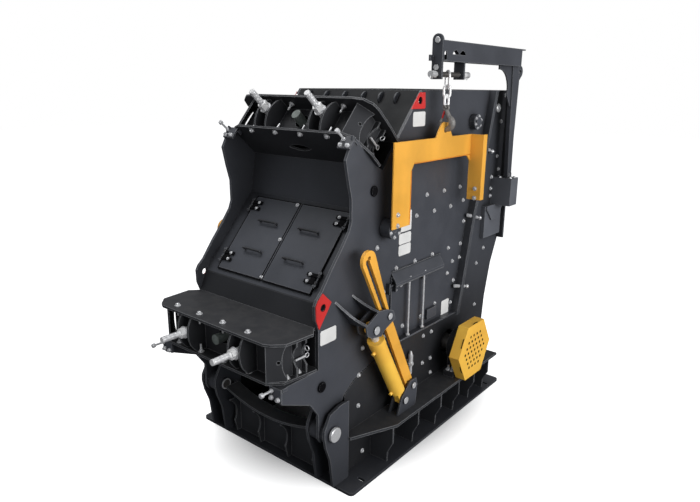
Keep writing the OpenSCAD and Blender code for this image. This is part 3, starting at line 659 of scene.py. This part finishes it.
BOLTS = bolt_group()
bolt_count = 0


def bolts(name, spots, facing, width, body, material=None, thread=0.12):
    """Bolts on all spots in millimetres, facing one way, head width in millimetres."""
    global bolt_count
    seats = bpy.data.meshes.new(name + "_seats")
    seats.from_pydata([tuple(mm(*spot)) for spot in spots], [], [])
    mesh = through_nodes(name, seats, BOLTS, {"Head width": width / 1000, "Facing": list(facing),
                                              "Thread length": thread, "Seed": 3 + len(spots),
                                              "Material": material or zinc})
    bolt_count += len(spots)
    made = bpy.data.objects.new(name, mesh)
    scene.collection.objects.link(made)
    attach(made, body)
    return made


print("bolt group with", len(BOLTS.nodes), "nodes")

# %% [markdown]
# The side walls carry the heads of the bolts that hold the wear plates inside. They sit in level rows
# about three hundred millimetres apart, with more of them beside the parting line. Both walls are
# alike, so from here on each cell works on the right hand and then on the left.

# %% Bolts of the side walls
WALL = 715
HANDS = (("r", 1), ("l", -1))


def level_row(z, first, step, count):
    """Places (y, z) in one level row."""
    return [(first + step * i, z) for i in range(count)]


swing_rows = (level_row(2290, 1330, 300, 3) + level_row(2122, 1170, 298, 3) + level_row(1703, 875, 297, 4)
              + [(2008, 2147), (2046, 1927), (2003, 1703), (1999, 1560), (1859, 1549), (1772, 1444),
                 (1902, 1339), (1866, 1112), (589, 1943), (676, 1527), (715, 1108)]
              + level_row(1125, 1001, 301, 2) + [(416, 1107)])
fixed_rows = (level_row(902, 1373, 146, 2) + level_row(615, 1377, 146, 2) + [(1538, 454), (1786, 313),
              (2007, 576), (2403, 938), (434, 116), (367, 590), (367, 877)]
              + [(2384 + 140 * i, 1410 + 143 * i) for i in range(4)])
rear_rows = [(2734, 2883), (2699, 2525), (2747, 2382), (2600, 2313), (2600, 2190), (2600, 2112),
             (2560, 1990), (2790, 2292), (2800, 3150)]
for hand, out in HANDS:
    for name, rows, body in (("wall_bolts_", swing_rows, "swing"), ("fixed_wall_bolts_", fixed_rows, "frame"),
                             ("rear_wall_bolts_", rear_rows, "frame")):
        bolts(name + hand, [(out * WALL, y, z) for y, z in rows], (out, 0, 0), 24, body)
print("bolts so far", bolt_count)

# %% [markdown]
# The two apron shafts end in flanges on the wall, each with four bolts on its rim. The big pins of the
# hinge, the cylinders and the safety struts end in bright discs.

# %% Shaft flanges and pin ends
def discs(name, spots, material, body):
    """One piece of chamfered discs: foot, outward direction, length, radius and chamfer of each."""
    bm = bmesh.new()
    for foot, out, length, radius, edge in spots:
        turned_disc(bm, foot, (out, 0, 0), length, radius, edge)
    from_bmesh(name, bm, material, body)


FLANGE_SEAT = 731
for hand, out in HANDS:
    for where, (y, z), face, wide in (("front_", (690, 2100), 825, 86), ("rear_", (2107, 2905), 779, 74)):
        circle = wide - 19
        bolts("flange_bolts_" + where + hand,
              [(out * face, y + circle * math.cos(t), z + circle * math.sin(t))
               for t in [math.radians(20 + 60 * i) for i in range(6)]], (out, 0, 0), 18, "swing")
        discs("shaft_housing_" + where + hand,
              [((out * FLANGE_SEAT, y, z), out, face - FLANGE_SEAT, wide, 4),
               ((out * (face - 1), y, z), out, 5, 26, 2)], slate, "swing")
    discs("fixed_pin_ends_" + hand,
          [((out * 788.5, -33, 533), out, 24, 62, 4), ((out * 911.5, 813, 518), out, 5, 33, 2),
           ((out * 911.5, 936, 616), out, 5, 29, 2)], ground_steel, "frame")
    discs("bracket_pin_ends_" + hand,
          [((out * 911.5, 349, 1338), out, 5, 35, 2), ((out * 909.5, 532, 1407), out, 5, 28, 2)],
          ground_steel, "swing")
    discs("hinge_pin_rims_" + hand, [((out * 535.5, -33, 533), -out, 4, 52, 2)], zinc, "frame")
    discs("hinge_pin_heads_" + hand, [((out * 532.5, -33, 533), -out, 3, 40, 2)], worn_steel, "frame")
print("bolts so far", bolt_count)

# %% [markdown]
# Two corners of each side wall are lifting lugs, painted red round their eyes. The walls also keep the
# blank plates on which such a machine carries its notices.

# %% Red corners and blank plates
plate_white = painted_steel("plate_white", (0.74, 0.74, 0.73), 0.45, 0.02, 0.2)
PLATE_CORNER = 10
PLATES = {"upper": (1056, 2903, 188, 122), "lower": (-116, 1304, 186, 120), "middle": (905, 1800, 184, 95),
          "over": (905, 1903, 184, 95), "high": (905, 2012, 184, 180), "rear": (1690, 1012, 140, 155)}


def cut_corners(y, z, wide, high, cut):
    """The outline of an upright plate whose four corners are cut off."""
    return [(y, z + cut), (y + cut, z), (y + wide - cut, z), (y + wide, z + cut), (y + wide, z + high - cut),
            (y + wide - cut, z + high), (y + cut, z + high), (y, z + high - cut)]


for hand, out in HANDS:
    # the left lug keeps clear of the roof's edge
    shy = 0 if out > 0 else 18
    top = 3184 - shy
    cut_plate("lug_upper_" + hand,
              [(1018 + shy, 3050), (1126 + shy, top - 12), (1146, top), (1222, top), (1232, 3063),
               (1222, 3050)],
              [(1150, 3118, 31)], 8, out * WALL, red, "swing")
    cut_plate("lug_lower_" + hand,
              [(-90, 1726), (8, 1632), (-134, 1449), (-165, 1530), (-168, 1638), (-146, 1678)],
              [(-88, 1612, 31)], 8, out * WALL, red, "swing")
    for name, plate in PLATES.items():
        cut_plate("blank_plate_" + name + "_" + hand, cut_corners(*plate, PLATE_CORNER), [], 3, out * WALL,
                  plate_white, "swing")
print("blank plates", 2 * len(PLATES))

# %% [markdown]
# The two cross beams are the same part, so their fittings are drawn once in the beam's own directions:
# across the machine, back along the flanges, and up from the lower flange. Each beam gives its corner
# and its tilt, and everything else follows.
# On each beam there are four bolts through either flange, a clamp with a jack screw at both front
# corners, a lock washer behind every rod nut and a lifting pin with its ring at either end.

# %% Cross beam fittings
class Beam:
    """A cross beam's own directions."""
    def __init__(self, name, front, floor, tilt, first_bolt, top, rods, rod_up):
        turn = math.radians(tilt)
        self.name, self.front, self.floor = name, front, floor
        self.along = Vector((0, math.cos(turn), math.sin(turn)))
        self.across = Vector((0, -math.sin(turn), math.cos(turn)))
        self.first_bolt, self.top, self.rods, self.rod_up = first_bolt, top, rods, rod_up

    def at(self, x, p, q):
        """Drawing place of a point x across, p back along the flange and q up from it."""
        return (x, self.front + p * self.along.y + q * self.across.y,
                self.floor + p * self.along.z + q * self.across.z)


BEAMS = [Beam("upper", 273, 2894, -41.5, -435, 303, 311, 159),
         Beam("lower", -570, 1132, 0, -500, 326, 306, 170)]
FLANGE = 20
STUD = 1.6
for beam in BEAMS:
    spots = [beam.first_bolt + 287 * i for i in range(4)]
    for name, p, q, facing, thread in (("_flange_heads", 41, -FLANGE, -beam.across, 0.12),
                                       ("_flange_nuts", 41, 0, beam.across, STUD),
                                       ("_top_heads", 44, beam.top, beam.across, 0.12),
                                       ("_top_nuts", 44, beam.top - FLANGE, -beam.across, STUD)):
        bolts(beam.name + name, [beam.at(x, p, q) for x in spots], facing, 30, "swing", thread=thread)
    bolts(beam.name + "_end_bolts", [beam.at(m * 652, p, 0) for m in (-1, 1) for p in (160, 285)],
          beam.across, 24, "swing", thread=0.6)
    bm = bmesh.new()
    for m in (-1, 1):
        corner = 30 if m > 0 else 45
        middle = m * 660
        # two bolt heads, and the jack screw with its round knob and lock nut
        for x in (middle - 34, middle + 34):
            turned_disc(bm, beam.at(x, 23, -106), -beam.along, 16, 19, 4)
            rod(bm, beam.at(x, 10, -106), -beam.along, 12, 11)
        screw = middle - corner
        rod(bm, beam.at(screw, -86, -52), beam.along, 130, 9)
        turned_disc(bm, beam.at(screw, -70, -52), -beam.along, 26, 19, 5)
        rod(bm, beam.at(screw, 8, -52), beam.along, 15, 17, sides=6)
        # lifting pin with its ring, at the end of the beam
        rod(bm, beam.at(m * 676, 222, 128), beam.along, 108, 9)
    for m in (-1, 1):
        # bright washer behind each nut
        turned_disc(bm, beam.at(m * beam.rods, -49, beam.rod_up), beam.along, 9, 51, 3)
    from_bmesh(beam.name + "_clamp_screws", bm, zinc, "swing")
    bm = bmesh.new()
    turn = Matrix((Vector((1, 0, 0)), beam.along, beam.across)).transposed().to_4x4()
    for m in (-1, 1):
        for centre, size in (((32, -73), (0.125, 0.020, 0.108)), ((60, -34), (0.125, 0.06, 0.03))):
            bmesh.ops.create_cube(bm, size=1.0, matrix=Matrix.Translation(mm(*beam.at(m * 660, *centre)))
                                  @ turn @ Matrix.Diagonal((*size, 1.0)))
    from_bmesh(beam.name + "_clamp_blocks", bm, slate, "swing", soften=2.0)
print("bolts so far", bolt_count)

# %% [markdown]
# Apron rods are threaded where their nuts run. A spiral curve swept with a small round gives the thread.
# A node group takes its radius, its length and the number of turns, and sets it on each rod's foot.

# %% Threads
def thread_group():
    """Sweeps a thread up from each point."""
    group, add, link, given, made = start_group("thread_on_rod", (
        ("Radius", "NodeSocketFloat", 0.024), ("Length", "NodeSocketFloat", 0.15),
        ("Turns", "NodeSocketFloat", 20.0)))
    spiral = add("GeometryNodeCurveSpiral")
    spiral.inputs["Resolution"].default_value = 20
    link(given.outputs["Turns"], spiral.inputs["Rotations"])
    link(given.outputs["Radius"], spiral.inputs["Start Radius"])
    link(given.outputs["Radius"], spiral.inputs["End Radius"])
    link(given.outputs["Length"], spiral.inputs["Height"])
    profile = add("GeometryNodeCurvePrimitiveCircle")
    profile.inputs["Resolution"].default_value = 4
    profile.inputs["Radius"].default_value = 0.0022
    sweep = add("GeometryNodeCurveToMesh")
    link(spiral.outputs["Curve"], sweep.inputs["Curve"])
    link(profile.outputs["Curve"], sweep.inputs["Profile Curve"])
    sweep.inputs["Fill Caps"].default_value = True
    points = add("GeometryNodeMeshToPoints")
    link(given.outputs["Geometry"], points.inputs["Mesh"])
    put = add("GeometryNodeInstanceOnPoints")
    link(points.outputs["Points"], put.inputs["Points"])
    link(sweep.outputs["Mesh"], put.inputs["Instance"])
    finish_group(add, link, put, given, made)
    return group


THREAD = thread_group()
for beam in BEAMS:
    turn = beam.along.to_track_quat("Z", "X").to_matrix().to_4x4()
    feet = [mm(*beam.at(m * beam.rods, -250, beam.rod_up)) for m in (-1, 1)]
    seats = bpy.data.meshes.new("thread_seats")
    seats.from_pydata([turn.inverted() @ foot for foot in feet], [], [])
    mesh = through_nodes(beam.name + "_rod_threads", seats, THREAD,
                         {"Radius": 0.0238, "Length": 0.142, "Turns": 24.0, "Material": zinc})
    mesh.transform(turn)
    add_piece(beam.name + "_rod_threads", mesh, zinc, "swing")
print("threads on", len(BEAMS) * 2, "rods")

# %% [markdown]
# Three tie bolts draw the swing frame against the fixed housing on each side. Each has a long sleeve nut
# on the swing flange, a slim shank through both flanges and a ball at its end.

# %% Tie bolts on the parting line
RISE = Vector((0, 353, 1324)).normalized()
AWAY = Vector((0, RISE.z, -RISE.y))
TIE_HEIGHTS = (1262, 1960, 2630)
for hand, out in HANDS:
    bm = bmesh.new()
    for height in TIE_HEIGHTS:
        seat = (out * 757, 1905 + (height - 985) * 0.2666 + 8, height)

        def along(d):
            """The place d millimetres past the seat."""
            return [c + a * d for c, a in zip(seat, AWAY)]

        rod(bm, along(-122), AWAY, 94, 18)
        turned_disc(bm, along(-28), AWAY, 8, 25, 2)
        rod(bm, along(-136), AWAY, 280, 8)
        rod(bm, along(34), AWAY, 46, 17)
        bmesh.ops.create_uvsphere(bm, u_segments=24, v_segments=16, radius=0.021,
                                  matrix=Matrix.Translation(mm(*along(146))))
    from_bmesh("tie_bolts_" + hand, bm, zinc, "swing")
print("tie bolts", 2 * len(TIE_HEIGHTS))

# %% [markdown]
# Under the sloping hood two slim rods run up beside the wall, each held by a nut above and below. Next to
# them are the hood's hinge lugs, a small closed box and a few nuts.

# %% Hood rods
def wall_block(bm, out, near, deep, y, z, wide, high):
    """A block on either wall, from near to near + deep outwards."""
    block(bm, (near if out > 0 else -near - deep, y, z), (deep, wide, high))


for hand, out in HANDS:
    bm = bmesh.new()
    for y in (1036, 1280):
        rod(bm, (out * 755, y, 1036), (0, 0, 1), 556, 10)
        rod(bm, (out * 755, y, 1034), (0, 0, 1), 16, 19, sides=6)
        rod(bm, (out * 755, y, 1578), (0, 0, 1), 24, 17, sides=6)
    from_bmesh("hood_rods_" + hand, bm, zinc, "swing")
    bm = bmesh.new()
    wall_block(bm, out, 710, 30, 1390, 1070, 160, 100)
    for y in (742, 838):
        wall_block(bm, out, 710, 42, y - 8, 1500, 16, 96)
    wall_block(bm, out, 710, 32, 742, 1560, 96, 14)
    wall_block(bm, out, 710, 35, 1290, 1510, 70, 60)
    from_bmesh("hood_lugs_" + hand, bm, slate, "swing", soften=2.0)
    # Two dark strips along the hood's lower edge and top: painted shade lines.
    bm = bmesh.new()
    wall_block(bm, out, 716, 11, 806, 1681, 796, 7)
    wall_block(bm, out, 764, 11, 806, 1554, 796, 7)
    from_bmesh("hood_seals_" + hand, bm, slate_shaded, "swing", soften=1.0)
    bolts("hood_nuts_" + hand,
          [(out * WALL, y, z) for y, z in ((699, 1530), (880, 1500), (960, 1525), (1517, 1560), (1560, 1188),
                                           (1345, 1590))], (out, 0, 0), 20, "swing")
print("bolts so far", bolt_count)

# %% [markdown]
# Black strips along the door gaps draw the dark line seen all round each door: painted shade of the gaps.
# A black disc and ring in each of the two ringed holes in either side wall are painted shade of the holes,
# and a black plate with black discs behind the shaft guard's holes is painted shade that makes them read dark.

# %% Painted shade in gaps and holes
# Black for the hinge straps, and for the painted shade of gaps and holes.
black_and_shade_paint = painted_steel("black_rubber", (0.004, 0.004, 0.005), 0.75, 0.02, 0.4, mirror=0.04)
OFF_SLOPE = Vector(OFF_DOORS)
UP_SLOPE = Vector((0, OFF_SLOPE.z, -OFF_SLOPE.y))


def on_slope(x, s, q):
    """Drawing place of a point x across, s up the door slope and q out of it."""
    return (x, -80 + s * UP_SLOPE.y + q * OFF_SLOPE.y, 1620 + s * UP_SLOPE.z + q * OFF_SLOPE.z)


def slope_block(bm, x, s, q, wide, tall, deep):
    """A block on the slope from its lowest corner."""
    turn = Matrix((Vector((1, 0, 0)), UP_SLOPE, OFF_SLOPE)).transposed().to_4x4()
    centre = on_slope(x + wide / 2, s + tall / 2, q + deep / 2)
    bmesh.ops.create_cube(bm, size=1.0, matrix=Matrix.Translation(mm(*centre)) @ turn
                          @ Matrix.Diagonal((wide / 1000, tall / 1000, deep / 1000, 1.0)))


# Black strips in the door gaps: painted shade.
bm = bmesh.new()
SEAM_STRIP_DEEP = 13.9
for x in (545.3, -555.3):
    slope_block(bm, x, 52, 0.5, 10, 765, SEAM_STRIP_DEEP)
for x in (12, -555):
    slope_block(bm, x, 52, 0.5, 543, 9.7, SEAM_STRIP_DEEP)
    slope_block(bm, x, 808.3, 0.5, 543, 8, SEAM_STRIP_DEEP)
for x in (7.5, -16.5):
    slope_block(bm, x, 62, 12.0, 9, 746, 2.6)
from_bmesh("door_seals", bm, black_and_shade_paint, "swing")

# A black disc and ring in each ringed hole: painted shade.
for hand, out in HANDS:
    bm = bmesh.new()
    for y, z in ((-105, 958), (525, 2425)):
        turned_disc(bm, (out * 726.5, y, z), (out, 0, 0), 2, 33, 0.5)
        ring(bm, (out * 724, y, z), (1, 0, 0), 39, 5)
    from_bmesh("plug_centres_" + hand, bm, black_and_shade_paint, "swing")

SHAFT_Y, SHAFT_Z = 1852, 685
# A black plate and discs behind the guard's holes: painted shade.
bm = bmesh.new()
rod(bm, (1017, SHAFT_Y, SHAFT_Z), (1, 0, 0), 8, 285, sides=48)
for i in range(-3, 4):
    for k in range(-3, 4):
        if abs(i + k) < 4:
            rod(bm, (1024, SHAFT_Y + (i - k) * 32, SHAFT_Z + (i + k) * 55), (1, 0, 0), 8.6, 14, sides=24)
from_bmesh("guard_backing", bm, black_and_shade_paint, "frame")
print("seals, plugs and guard backing done")

# %% [markdown]
# Each door hangs on two black straps with two bolts each, and the mullion has three bolts of its own.
# The lifting plate has a folded lip and is bolted at the foot of both legs, and the jib's socket and the
# bearings are bolted down.

# %% Bolts of doors, lifting plate and jib
STRAP_Q = 14.2
for hand, out in HANDS:
    bm = bmesh.new()
    spots = []
    for s in (137, 670):
        slope_block(bm, 486 if out > 0 else -542, s + 2, STRAP_Q, 56, 86, 7)
        for d in (0, 61):
            slope_block(bm, 440 if out > 0 else -556, s + d, STRAP_Q, 116, 29, 15.5)
        spots += [on_slope(out * 474, s + d, 30) for d in (15, 75)]
    from_bmesh("hinge_straps_" + hand, bm, black_and_shade_paint, "hatch_" + hand, soften=1.5)
    bolts("hinge_strap_bolts_" + hand, spots, OFF_SLOPE, 17, "hatch_" + hand)
bolts("door_bolts", [on_slope(-41, 795, 14), on_slope(-28, 445, 14), on_slope(-13, 81, 12)],
      OFF_SLOPE, 20, "swing")

# A darker copy of the yellow for the lifting plate's folded lip: painted shade.
yellow_shaded = painted_steel("yellow_paint_lip", (0.78, 0.27, 0.02), 0.45, 0.03, 0.4)
bm = bmesh.new()
block(bm, (843.5, 888, 2620), (19, 946, 8))
block(bm, (843.5, 842, 2118), (16, 8, 450))
from_bmesh("lift_beam_lip", bm, yellow_shaded, "jib_arm", soften=1.0)
bolts("lift_beam_front_bolts", [(856, 672, 2227), (856, 672, 2136)], (1, 0, 0), 24, "jib_arm")
bolts("lift_beam_rear_bolts", [(925, 1836, 2306), (925, 1836, 2216)], (0, -1, 0), 24, "jib_arm")
bolts("jib_socket_bolts", [(905, 2660, 2310), (795, 2645, 2310), (905, 2750, 2310)], (0, 0, 1), 22, "frame")
for hand, out in HANDS:
    bolts("bearing_bolts_" + hand, [(out * x, y, 465) for x in (838, 882) for y in (1690, 2014)], (0, 0, 1), 34,
          "frame", thread=0.9)
print("bolts in all", bolt_count)

# %% [markdown]
# A grease fitting stands on the fixed side, and a bright disc with a nut closes a hole near its top
# corner.

# %% Grease fitting and rear disc
for hand, out in HANDS:
    bm = bmesh.new()
    for z, length, radius, top, sides in ((612, 96, 17, None, 32), (700, 26, 30, None, 6),
                                          (724, 78, 23, None, 32), (800, 40, 19, 10, 32)):
        rod(bm, (out * 745, 1120, z), (0, 0, 1), length, radius, top, sides)
    rod(bm, (out * 712, 1120, 740), (out, 0, 0), 34, 15)
    turned_disc(bm, (out * 714, 2640, 3023), (out, 0, 0), 16, 44, 5)
    rod(bm, (out * 714, 2640, 3023), (out, 0, 0), 30, 15, sides=6)
    from_bmesh("wall_fittings_" + hand, bm, ground_steel, "frame")
print("fittings on both walls")

# %% [markdown]
# The hook is forged: its bow swells on the side that carries the load and thins towards the tip. A curve
# with a radius at each point gives that shape. A red latch closes its mouth. The cross pin above the
# chain gets its bright ends, its sleeve and its rings, and so do the lifting pins of the beams.

# %% Forged hook, latch and rings
def swelling_bar(name, places, radii, material, body):
    """A round bar through places, in millimetres, with its own radius at each."""
    curve = bpy.data.curves.new(name, "CURVE")
    curve.dimensions = "3D"
    curve.bevel_depth = 0.001
    curve.bevel_resolution = 6
    curve.use_fill_caps = True
    spline = curve.splines.new("POLY")
    spline.points.add(len(places) - 1)
    for point, place, radius in zip(spline.points, places, radii):
        point.co = (*mm(*place), 1)
        point.radius = radius
    return add_piece(name, mesh_of_curve(curve), material, body)


JIB_X = 850
HOOK_Y, HOOK_Z = 1362, 2925
hook_dark = bare_metal("forged_steel", (0.26, 0.25, 0.24), (0.17, 0.165, 0.16), 0.45, 26.0, metallic=0.25)
places, radii = [], []
for i in range(41):
    turn = math.radians(-195 + 255 * i / 40)
    load = max(0.0, math.cos(turn - math.radians(10)))
    places.append((JIB_X + 10 + 56 * math.cos(turn), HOOK_Y, HOOK_Z + 54 * math.sin(turn)))
    radii.append(17.0 + 12.5 * load ** 1.3)
for i in range(1, 9):
    t = i / 8
    places.append((JIB_X + 38 - 36 * t, HOOK_Y, HOOK_Z + 46.8 + 70 * t))
    radii.append(22.0 - 5.0 * t)
swelling_bar("hook_forging", places, radii, hook_dark, "jib_arm")
swelling_bar("hook_latch", [(JIB_X - 8, HOOK_Y, HOOK_Z + 116), (JIB_X - 20, HOOK_Y, HOOK_Z + 84),
                            (JIB_X - 34, HOOK_Y, HOOK_Z + 44)], [9, 9, 7], red, "jib_arm")

PIN_Z = 3331
bm = bmesh.new()
for y in (1098, 1690):
    ring(bm, (JIB_X, y, PIN_Z - 22), (1, 0, 0), 17, 2.6)
    rod(bm, (JIB_X, y, PIN_Z - 26), (0, 0, 1), 52, 3)
for y in (1083, 1640):
    rod(bm, (JIB_X, y, PIN_Z), (0, 1, 0), 70, 27, sides=28)
rod(bm, (JIB_X, 1160, 3386), (0, 1, 0), 12, 24, sides=6)
turned_disc(bm, (JIB_X, 1174, 3600), (0, -1, 0), 8, 25, 3)
rod(bm, (JIB_X, 1165, 3600), (0, 1, 0), 40, 19.5)
from_bmesh("pin_rings", bm, ground_steel, "jib_arm")
bm = bmesh.new()
rod(bm, (JIB_X, 1176, PIN_Z), (0, 1, 0), 360, 22)
from_bmesh("pin_sleeve", bm, worn_steel, "jib_arm")
bm = bmesh.new()
for beam in BEAMS:
    for m in (-1, 1):
        ring(bm, beam.at(m * 676, 348, 128), (1, 0, 0), 18, 4)
        ring(bm, beam.at(m * 700, 322, 200), beam.along, 20, 4)
from_bmesh("beam_pin_rings", bm, zinc, "swing")
print("hook bar through", len(places), "places")

# %% [markdown]
# Behind the upper beam, a row of rounded lugs stiffens the sloping roof.

# %% Roof lugs
LUG_AT, LUG_HALF, LUG_HIGH = 735, 58, 44
ALONG_ROOF = Vector((0, 544, 620)).normalized()
OFF_ROOF = Vector((0, -ALONG_ROOF.z, ALONG_ROOF.y))
rim = [(LUG_HALF * math.cos(t), LUG_HIGH * math.sin(t)) for t in [math.pi * i / 12 for i in range(13)]]
corners = [(640 + (LUG_AT + a) * ALONG_ROOF.y + (q - 2) * OFF_ROOF.y,
            2580 + (LUG_AT + a) * ALONG_ROOF.z + (q - 2) * OFF_ROOF.z) for a, q in rim]
bm = bmesh.new()
for x in (-520, -300, -80, 140, 330, 500):
    near, far = [[bm.verts.new(mm(x + e, y, z)) for y, z in corners] for e in (-7, 7)]
    bm.faces.new(near)
    bm.faces.new(list(reversed(far)))
    for i in range(len(corners)):
        j = (i + 1) % len(corners)
        bm.faces.new((near[i], near[j], far[j], far[i]))
from_bmesh("roof_lugs", bm, slate, "swing", soften=1.5)
print("corners of a lug", len(corners))
